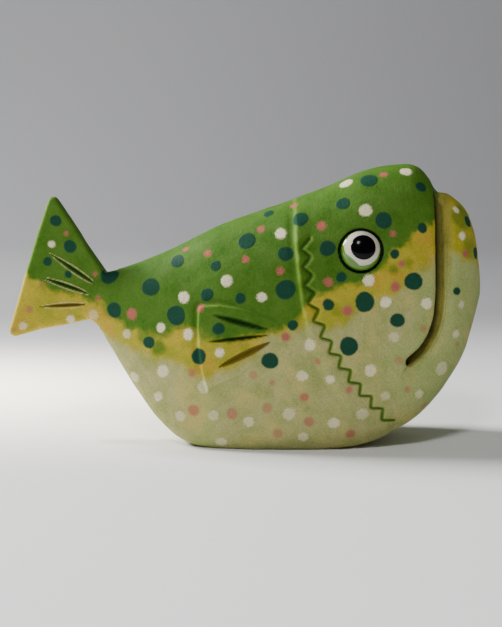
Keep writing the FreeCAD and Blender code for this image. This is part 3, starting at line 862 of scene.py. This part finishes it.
def paint_fields(piece, carving):
    """Stores what the paint material reads: spots, ground colours, cuts, wear and strokes."""
    mesh = piece.data
    flat = np.empty(len(mesh.vertices) * 3)
    mesh.vertices.foreach_get("co", flat)
    points = flat.reshape(-1, 3) / MM
    x, y, z = points.T
    rng = np.random.default_rng(carving.seed)
    side_view = side_spots(carving.seed)
    extra = crown_spots(rng, side_view)
    for name, spots in (*side_view.items(), ("dab", LEAF_DABS)):
        centres = spot_centres(spots, name, extra, rng)
        depth, cover = spot_field(centres, points, rng)
        put(mesh, name + "_spot", depth)
        put(mesh, name + "_cover", cover)
    green, ochre = zone_fields(x, z)
    put(mesh, "leaf_zone", green)
    put(mesh, "ochre_zone", ochre)
    below = skin(x, z) - np.abs(y)
    gap, side = to_line(ZIGZAG_CUT, x, z)
    upper = ease(z, 36, 46)
    line = 1 - ease(gap, 0.25, 0.7)
    # Dark green along the upper zigzag groove: partly paint, partly painted shade in the groove.
    deep = 0.5 * line * upper
    ochre_cut = np.zeros(x.shape)
    worn = np.zeros(x.shape)
    for cut in FIN_GOUGES + TAIL_GOUGES:
        share, hollow = gouge_field(cut, x, z)
        fill = 1 - ease(np.abs(share), 0.75, 1.05)
        if cut[6] == "deep":
            # Dark green in these gouges grows with their depth: painted shade in the hollow, over
            # dark paint.
            deep = np.maximum(deep, fill * ease(hollow / cut[4], 0.1, 0.6))
        else:
            ochre_cut = np.maximum(ochre_cut, fill)
        if cut in TAIL_GOUGES:
            worn = np.maximum(worn, bell(np.abs(share) - 1.45, 0.35))
    put(mesh, "deep_cut", deep)
    put(mesh, "ochre_cut", ochre_cut)
    put(mesh, "green_cut", line * (1 - 0.3 * upper))
    put(mesh, "worn", worn * (np.abs(y) > 1))
    # Pale green along the fin's left edge, the gill ridge, the zigzag's head-side edge and the
    # tail's trailing edge: pale paint with painted highlight where these edges face the light from
    # the left.
    fin = inside(FIN_OUTLINE, x, z)
    root = np.clip((11 - x) / 18, 0, 1)
    rim = 0.8 * bell(fin - 0.15, 0.24) * root * ease(z - 0.5 * x, 20, 27)
    gill = head_side(x, z)
    ridge = 0.7 * bell(gill - 0.4, 0.75) * (1 - ease(z, 74, 84)) * ease(z, 12, 26)
    # Painted highlight on the head plate's edge just right of the zigzag.
    teeth = bell(gap * side - 0.95, 0.4) * 0.6 * ease(gill, 0.5, 2)
    edge = 0.8 * bell(to_line(TAIL[1:4], x, z)[0], 0.7)
    put(mesh, "pale_rim", np.clip(np.maximum.reduce([rim, ridge, teeth, edge]), 0, 1))
    mouth_gap, mouth_side = to_line(MOUTH, x, z)
    column = bell(x + 12.3, 3.0) * (1 - ease(z, 16, 23))
    column = np.maximum(column, 0.75 * ((mouth_side > 0) & (x > 48)))
    column = np.maximum(column, 0.7 * (1 - ease(mouth_gap, 3, 13)) * (x > 36))
    put(mesh, "moss_column", column)
    # Painted shade: the slot darkens towards its left wall, which lies in shadow.
    put(mesh, "slot_shade", ease(-mouth_gap * mouth_side, -1.2, 1.6))
    shoulder = 0.75 * (mouth_side > 0) * (1 - ease(mouth_gap, 2.4, 4.2)) * ease(z, 44, 62)
    cut_away = ease(below, 0.5, 1.2) * (mouth_gap < MOUTH_HALF + 0.8)
    put(mesh, "slot_paint", np.maximum(cut_away, shoulder))
    # Near-black in the eye socket round the button: partly dark paint, partly painted shade in the
    # gap.
    eye = np.hypot(x - EYE_X, z - EYE_Z) < SOCKET_RADIUS + 0.3
    put(mesh, "socket_paint", ease(below, -0.5, 0.1) * eye * (np.abs(y) > 10))
    across, along = brush_field(x, z)
    put(mesh, "stroke_across", across)
    put(mesh, "stroke_along", along)


# ---- Materials -----------------------------------------------------------------------------------


def add(tree, kind, inputs=None, **settings):
    """Adds a node with its settings and its input values or links."""
    node = tree.nodes.new(kind)
    for name, value in settings.items():
        setattr(node, name, value)
    for key, value in (inputs or {}).items():
        if isinstance(value, bpy.types.NodeSocket):
            tree.links.new(value, node.inputs[key])
        else:
            node.inputs[key].default_value = value
    return node


def new_material(name):
    """An empty node material, its tree and its object coordinates."""
    material = bpy.data.materials.new(name)
    material.use_nodes = True
    tree = material.node_tree
    tree.nodes.clear()
    return material, tree, add(tree, "ShaderNodeTexCoord").outputs["Object"]


def maths(tree, operation, *values):
    """The result of a maths node."""
    return add(tree, "ShaderNodeMath", dict(enumerate(values)), operation=operation).outputs[0]


def remap(tree, value, low=0.0, high=1.0, to_low=0.0, to_high=1.0, curve="LINEAR"):
    """A value stretched from one range to another and held at its ends."""
    inputs = {"Value": value, "From Min": low, "From Max": high,
              "To Min": to_low, "To Max": to_high}
    return add(tree, "ShaderNodeMapRange", inputs, interpolation_type=curve).outputs[0]


def mix(tree, share, under, over):
    """Two colours mixed. A string is an sRGB hex colour."""
    under, over = (hex_colour(c) if isinstance(c, str) else c for c in (under, over))
    inputs = {0: share, 6: under, 7: over}
    return add(tree, "ShaderNodeMix", inputs, data_type="RGBA").outputs[2]


def noise(tree, where, scale, detail, rough=0.5, distortion=0.0):
    """The value of a noise texture."""
    inputs = {"Vector": where, "Scale": scale, "Detail": detail, "Roughness": rough,
              "Distortion": distortion}
    return add(tree, "ShaderNodeTexNoise", inputs).outputs["Fac"]


def stored(tree, name):
    """A number stored on the mesh's points."""
    return add(tree, "ShaderNodeAttribute", attribute_name=name).outputs["Fac"]


def surface(tree, colour, rough, constants, bump=None):
    """Ends a material in one surface. bump is a height, a strength and a depth in millimetres."""
    inputs = {"Base Color": colour, "Roughness": rough, **constants}
    if bump:
        height, strength, depth = bump
        inputs["Normal"] = add(tree, "ShaderNodeBump", {
            "Height": height, "Strength": strength, "Distance": depth * MM}).outputs[0]
    shader = add(tree, "ShaderNodeBsdfPrincipled", inputs)
    add(tree, "ShaderNodeOutputMaterial", {"Surface": shader.outputs[0]})


def coat(tree, under, colour, edge, ragged, rag, soft, cover=1.0):
    """Lays a coat of paint over another where edge is above 0, with an uneven, brushed edge."""
    mask = remap(tree, maths(tree, "MULTIPLY_ADD", ragged, rag, edge), -soft, soft,
                 curve="SMOOTHSTEP")
    return mix(tree, maths(tree, "MULTIPLY", mask, cover), under, colour)


def acrylic_on_wood(paint):
    """Artist's acrylic brushed on carved wood: matte, streaky, a little dry at edges."""
    material, tree, place = new_material("brushed_acrylic_on_carved_wood")

    def between(source, low, high, under, over):
        """One paint brushed unevenly into another."""
        return mix(tree, remap(tree, source, low, high), under, over)

    def spots(under, name, tint, ragged, rag, soft):
        """All the spots of one paint, laid over what is there."""
        return coat(tree, under, tint, stored(tree, name + "_spot"), ragged, rag, soft,
                    stored(tree, name + "_cover"))

    # Strokes 1.1 mm across and 14 mm long, along the form.
    strokes_at = add(tree, "ShaderNodeCombineXYZ", {
        "X": maths(tree, "MULTIPLY", stored(tree, "stroke_across"), 0.9),
        "Y": maths(tree, "MULTIPLY", stored(tree, "stroke_along"), 0.07)}).outputs[0]
    strokes = noise(tree, strokes_at, 1.0, 4.0, 0.6, 1.2)
    clouds = noise(tree, place, 95.0, 4.0, 0.6)     # broad uneven patches about 10 mm across
    dabs = noise(tree, place, 170.0, 3.0, 0.55)     # sponge-like dabs about 6 mm across
    stipple = noise(tree, place, 900.0, 2.0, 0.6)   # the tooth of the brush, about 1 mm
    grit = noise(tree, place, 2600.0, 2.0, 0.6)     # pigment grain of 0.4 mm, coarse so it shows
    centred = maths(tree, "SUBTRACT", dabs, 0.5)
    grainy = maths(tree, "SUBTRACT", grit, 0.5)

    cream = between(strokes, 0.35, 0.75, tuple(paint.cream), "9e9e60")
    cream = between(dabs, 0.42, 0.64, cream, mix(tree, 0.6, cream, tuple(paint.moss)))
    cream = mix(tree, remap(tree, stored(tree, "moss_column"), to_high=0.65), cream, "93a860")
    cream = between(clouds, 0.5, 0.68, cream, "b4aa66")
    ochre = between(dabs, 0.35, 0.62, tuple(paint.ochre), "96942a")
    ochre = between(clouds, 0.52, 0.66, ochre, "b49430")
    green = between(dabs, 0.36, 0.68, tuple(paint.leaf), tuple(paint.fern))
    green = between(stipple, 0.3, 0.8, green, "466e18")

    colour = coat(tree, cream, ochre, stored(tree, "ochre_zone"), centred, 9.0, 2.3)
    colour = coat(tree, colour, green, stored(tree, "leaf_zone"), centred, 9.0, 1.5)
    colour = spots(colour, "dab", green, centred, 2.0, 1.2)
    # Pale green edges: partly paint, partly painted highlight.
    rim = remap(tree, stored(tree, "pale_rim"), 0.15, to_high=0.55)
    colour = mix(tree, rim, colour, mix(tree, 0.65, colour, "9cb840"))
    for name, rag, soft in (("rose", 1.6, 0.55), ("white", 1.2, 0.4), ("teal", 0.9, 0.3)):
        colour = spots(colour, name, tuple(getattr(paint, name)), grainy, rag, soft)
    # Paints in the cuts; the dark green is partly paint, partly painted shade that deepens with the
    # cut.
    for name, tint in (("green_cut", "4c6c1c"), ("ochre_cut", "70601a"), ("deep_cut", "163c08")):
        colour = mix(tree, stored(tree, name), colour, tint)
    bare = remap(tree, maths(tree, "MULTIPLY", stored(tree, "worn"), stipple), 0.1, 0.5)
    colour = mix(tree, bare, colour, "c8b880")
    slot_olive_and_shade = between(dabs, 0.3, 0.7, tuple(paint.slot), "747030")
    # Painted shade darkening the olive towards the slot's left wall.
    slot_olive_and_shade = mix(tree, stored(tree, "slot_shade"), slot_olive_and_shade, "34300c")
    colour = mix(tree, stored(tree, "slot_paint"), colour, slot_olive_and_shade)
    # Near-black in the eye socket: dark paint and painted shade.
    colour = mix(tree, stored(tree, "socket_paint"), colour, "0c1a08")
    speck = remap(tree, grit, 0.3, 0.7, 0.8, 1.16)
    colour = add(tree, "ShaderNodeVectorMath", {0: colour, "Scale": speck},
                 operation="SCALE").outputs[0]

    film = maths(tree, "MAXIMUM", stored(tree, "teal_spot"), stored(tree, "white_spot"))
    film = remap(tree, film, -0.2, 0.3, curve="SMOOTHSTEP")
    height = maths(tree, "MULTIPLY_ADD", strokes, 0.5, stipple)
    height = maths(tree, "MULTIPLY_ADD", grit, 0.4, height)
    height = maths(tree, "MULTIPLY_ADD", film, 0.7, height)
    surface(tree, colour, remap(tree, dabs, 0.3, 0.7, 0.62, 0.8),
            {"IOR": 1.47, "Specular IOR Level": 0.18}, (height, 0.55, 0.25))
    return material


def bare_beech():
    """Sawn beech, never finished: pale brown with fine darker flecks, quite dry."""
    material, tree, place = new_material("sawn_beech")
    # Growth rings 2.5 mm apart, stretched along the fish's length.
    squeezed = add(tree, "ShaderNodeMapping",
                   {"Vector": place, "Scale": (40.0, 400.0, 400.0)}).outputs[0]
    rings, flecks = noise(tree, squeezed, 1.0, 4.0), noise(tree, squeezed, 4.0, 2.0)
    colour = mix(tree, rings, "c89e6c", "a87a4a")
    colour = mix(tree, remap(tree, flecks, 0.6, 0.72, to_high=0.5), colour, "7e5630")
    surface(tree, colour, 0.75, {"IOR": 1.5}, (rings, 0.3, 0.1))
    return material


def gloss_enamel_eye(paint):
    """Gloss enamel brushed on a turned button: a white patch in a green rim, with a wet shine."""
    material, tree, place = new_material("gloss_enamel_on_turned_button")
    streak = noise(tree, place, 700.0, 3.0)
    white = mix(tree, streak, tuple(paint.eye_white), "b8b49a")
    green = mix(tree, streak, "5e8c22", "3c6a12")
    colour = coat(tree, green, white, stored(tree, "white_patch"),
                  maths(tree, "SUBTRACT", streak, 0.5), 0.4, 0.15)
    surface(tree, colour, 0.16, {"IOR": 1.5, "Coat Weight": 0.2, "Coat Roughness": 0.08},
            (streak, 0.15, 0.05))
    return material


def black_enamel():
    """Black enamel let fall as a drop: smooth, wet and very dark, with faint dust."""
    material, tree, place = new_material("black_enamel_drop")
    dust = noise(tree, place, 3000.0, 2.0)
    colour = mix(tree, remap(tree, dust, 0.6, 0.8, to_high=0.3), "030304", "14141a")
    surface(tree, colour, remap(tree, dust, to_low=0.08, to_high=0.2),
            {"IOR": 1.35, "Specular IOR Level": 0.25})
    return material


def backdrop_paper():
    """Pale seamless paper, matte, with painted shade greying it towards its far end."""
    material, tree, place = new_material("seamless_paper")
    along = add(tree, "ShaderNodeSeparateXYZ", {"Vector": place}).outputs["Y"]
    # Painted shade: from 60 to 300 mm behind the fish the paper turns grey, standing in for the dim
    # backdrop.
    far = remap(tree, along, 0.06, 0.3, curve="SMOOTHSTEP")
    colour = mix(tree, noise(tree, place, 9.0, 3.0), "f0f0ee", "e9e9e8")
    colour = mix(tree, far, colour, "9a9a9c")
    fibre = noise(tree, place, 1500.0, 3.0)
    surface(tree, colour, 0.8, {"IOR": 1.45}, (fibre, 0.08, 0.2))
    return material


# ---- Operators -----------------------------------------------------------------------------------


class FISH_OT_boards(bpy.types.Operator):
    """Carves the fish, parts it into its three boards and paints them."""

    bl_idname = "fish.boards"
    bl_label = "Carved Boards"

    def execute(self, context):
        carving, paint = context.scene.fish_carving, context.scene.fish_paint
        whole = carved_fish(carving)
        planes = {
            "right_side_board": [(-CORE_HALF, -1)],
            "core_board": [(-CORE_HALF, 1), (CORE_HALF, -1)],
            "left_side_board": [(CORE_HALF, 1)],
        }
        acrylic, beech = acrylic_on_wood(paint), bare_beech()
        for node, cuts in planes.items():
            board = part_board(whole, "carved_" + node, cuts)
            paint_fields(board, carving)
            board.data.materials.append(acrylic)
            board.data.materials.append(beech)
            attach(board, "root")
            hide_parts(node)
        discard(whole)
        return {"FINISHED"}


class FISH_OT_dowels(bpy.types.Operator):
    """Gives the dowels between the boards their bare beech."""

    bl_idname = "fish.dowels"
    bl_label = "Dowels"

    def execute(self, context):
        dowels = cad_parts["assembly_dowels"]
        dowels.data.materials.clear()
        dowels.data.materials.append(bpy.data.materials.get("sawn_beech") or bare_beech())
        return {"FINISHED"}


class FISH_OT_eyes(bpy.types.Operator):
    """Turns the eye buttons, paints their whites and lets a drop of black fall on each."""

    bl_idname = "fish.eyes"
    bl_label = "Eyes"

    def execute(self, context):
        enamel, black = gloss_enamel_eye(context.scene.fish_paint), black_enamel()
        radius, floor, rim = BUTTON_RADIUS, -SOCKET_DEPTH, BUTTON_RIM - SOCKET_DEPTH
        ball = (radius ** 2 + BUTTON_DOME ** 2) / (2 * BUTTON_DOME)
        middle = rim + BUTTON_DOME - ball
        for name, side in (("right", -1), ("left", 1)):
            place = eye_frame(side)
            face = [(r, middle + math.sqrt(ball ** 2 - r ** 2))
                    for r in np.linspace(radius - 0.25, 0.02, 26)]
            end = floor - TENON_LENGTH
            profile = [(0.02, end), (TENON_RADIUS - 0.3, end), (TENON_RADIUS, end + 0.4),
                       (TENON_RADIUS, floor), (radius - 0.1, floor), (radius, floor + 0.1),
                       (radius, rim - 0.25), (radius - 0.08, rim + 0.02), *face]
            button = lathe(name + "_turned_eye_button", profile, place)
            self.patch(button, place)
            self.finish(button, enamel, name + "_eye_button", "eye_enamel")
            drop = self.drop_profile(ball)
            pupil = lathe(name + "_enamel_pupil", drop, self.drop_frame(place, middle), 72)
            self.finish(pupil, black, name + "_pupil", "pupil_enamel")
        return {"FINISHED"}

    def drop_frame(self, place, middle):
        """The pupil's placement: out along the dome's normal, forward and up of its middle."""
        centre = place @ Vector((0, 0, middle))
        ahead, up, out = (place.to_3x3().col[i] for i in range(3))
        leaning = (out * 7.6 + ahead * 0.65 + up * 0.95).normalized()
        side_way = ahead - leaning * ahead.dot(leaning)
        side_way.normalize()
        upward = leaning.cross(side_way)
        turned = Matrix((side_way, upward, leaning)).transposed()
        return Matrix.Translation(centre) @ turned.to_4x4()

    def drop_profile(self, ball):
        """A thin drop on the dome, rounded down to its edge."""
        under = [(r, math.sqrt(ball ** 2 - r ** 2) - 0.02)
                 for r in np.linspace(0.02, PUPIL_RADIUS - 0.15, 8)]
        over = []
        for share in np.linspace(1, 0.005, 18):
            r = PUPIL_RADIUS * share
            thick = PUPIL_THICK * (1 - share ** 6) ** 0.5
            over.append((r, math.sqrt(ball ** 2 - r ** 2) + thick))
        return under + over

    def patch(self, button, place):
        """Stores how far inside the white patch each point of the button lies."""
        back_to = place.inverted()
        values = []
        for vertex in button.data.vertices:
            local = back_to @ (vertex.co / MM)
            circle = WHITE_RADIUS - math.hypot(local.x - 0.35, local.y - 0.75)
            chin = (local.x + 0.1) * 0.664 + (local.y + 5.0) * 0.747
            under_rim = (local.z + SOCKET_DEPTH - 0.9) * 2
            values.append(min(circle, chin, under_rim))
        put(button.data, "white_patch", values)

    def finish(self, piece, material, node, slot):
        """Smooth shading, material and body; slot is not used."""
        piece.data.shade_smooth()
        piece.data.materials.append(material)
        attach(piece, "root")
        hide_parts(node)


class FISH_OT_stage(bpy.types.Operator):
    """Sets the paper sweep, the lights and the camera."""

    bl_idname = "fish.stage"
    bl_label = "Stage"

    def execute(self, context):
        stage = context.scene.fish_stage
        self.sweep()
        self.lights(stage)
        self.camera(context)
        return {"FINISHED"}

    def sweep(self):
        """Seamless paper: flat under the fish, curving up far behind it."""
        profile = [(PAPER_NEAR, 0), (PAPER_BEND, 0)]
        profile += [(PAPER_BEND + PAPER_RADIUS * math.sin(t), PAPER_RADIUS * (1 - math.cos(t)))
                    for t in np.linspace(0.03, math.pi / 2, 30)]
        profile += [(PAPER_BEND + PAPER_RADIUS, PAPER_TOP)]
        vertices = [(x, y, z) for y, z in profile for x in (-PAPER_HALF, PAPER_HALF)]
        faces = [(2 * i, 2 * i + 1, 2 * i + 3, 2 * i + 2) for i in range(len(profile) - 1)]
        paper = new_object("paper_sweep", vertices, faces)
        paper.data.shade_smooth()
        paper.data.materials.append(backdrop_paper())

    def lights(self, stage):
        """A window low on the left, a weak fill, a glow behind the tail, and the room all round."""
        self.lamp("window", "AREA", stage.window, 0.36, (0, 0, 0.045), (-0.82, 0.22, 0.56), 1.1)
        self.lamp("fill", "AREA", stage.fill, 0.22, (0, 0, 0.045), (-0.15, -0.62, 0.77), 1.2)
        glow = self.lamp("glow", "SPOT", stage.glow, 0.05, (-0.11, 0.08, 0), (-0.6, 0.05, 0.8),
                         0.6)
        glow.color = hex_colour("fff0d8")[:3]
        glow.spot_size, glow.spot_blend = math.radians(18), 1.0
        world = bpy.data.worlds.new("room")
        world.use_nodes = True
        sky = world.node_tree.nodes["Background"]
        sky.inputs["Color"].default_value = hex_colour("e8eaee")
        sky.inputs["Strength"].default_value = stage.room
        bpy.context.scene.world = world

    def lamp(self, name, kind, power, size, aim, toward, distance):
        """A soft light that looks at aim from a direction."""
        light = bpy.data.lights.new(name, kind)
        light.energy = power
        if kind == "AREA":
            light.size = size
        else:
            light.shadow_soft_size = size
        self.look(linked(name, light), aim, toward, distance)
        return light

    def look(self, placed, aim, toward, distance):
        """Stands a light or camera off from aim in a direction, looking back at it."""
        toward = Vector(toward).normalized()
        placed.location = Vector(aim) + toward * distance
        placed.rotation_mode = "QUATERNION"
        placed.rotation_quaternion = toward.to_track_quat("Z", "Y")

    def camera(self, context):
        """A long lens a little above the fish, looking at its right side."""
        low, high = (Vector(corner) for corner in CAD_BOX)
        aim = ((low.x + high.x) / 2 + AIM_AHEAD * MM, 0, AIM_HEIGHT * MM)
        rise = math.radians(CAMERA_RISE)
        lens = bpy.data.cameras.new("camera")
        lens.sensor_width, lens.lens = SENSOR, FOCAL_LENGTH
        lens.clip_start = 0.01
        eye = linked("camera", lens)
        self.look(eye, aim, (0, -math.cos(rise), math.sin(rise)), CAMERA_AWAY * MM)
        context.scene.camera = eye


class FISH_PT_panel(bpy.types.Panel):
    """Lists the fish's pieces and their settings."""

    bl_idname = "FISH_PT_panel"
    bl_label = "Wooden Fish"
    bl_space_type = "VIEW_3D"
    bl_region_type = "UI"
    bl_category = "Wooden Fish"

    def draw(self, context):
        for group in ("fish_carving", "fish_paint", "fish_stage"):
            settings = getattr(context.scene, group)
            for name in settings.bl_rna.properties.keys():
                if name not in ("rna_type", "name"):
                    self.layout.prop(settings, name)
        for operator in (FISH_OT_boards, FISH_OT_dowels, FISH_OT_eyes, FISH_OT_stage):
            self.layout.operator(operator.bl_idname)


CLASSES = (FishCarving, FishPaint, FishStage, FISH_OT_boards, FISH_OT_dowels, FISH_OT_eyes,
           FISH_OT_stage, FISH_PT_panel)


def register():
    """Registers the classes and the settings."""
    for one in CLASSES:
        bpy.utils.register_class(one)
    bpy.types.Scene.fish_carving = PointerProperty(type=FishCarving)
    bpy.types.Scene.fish_paint = PointerProperty(type=FishPaint)
    bpy.types.Scene.fish_stage = PointerProperty(type=FishStage)


def unregister():
    """Removes the classes and the settings."""
    del bpy.types.Scene.fish_stage
    del bpy.types.Scene.fish_paint
    del bpy.types.Scene.fish_carving
    for one in reversed(CLASSES):
        bpy.utils.unregister_class(one)


def main():
    """Makes every piece and the stage."""
    register()
    bpy.ops.fish.boards()
    bpy.ops.fish.dowels()
    bpy.ops.fish.eyes()
    bpy.ops.fish.stage()


if __name__ == "__main__":
    main()
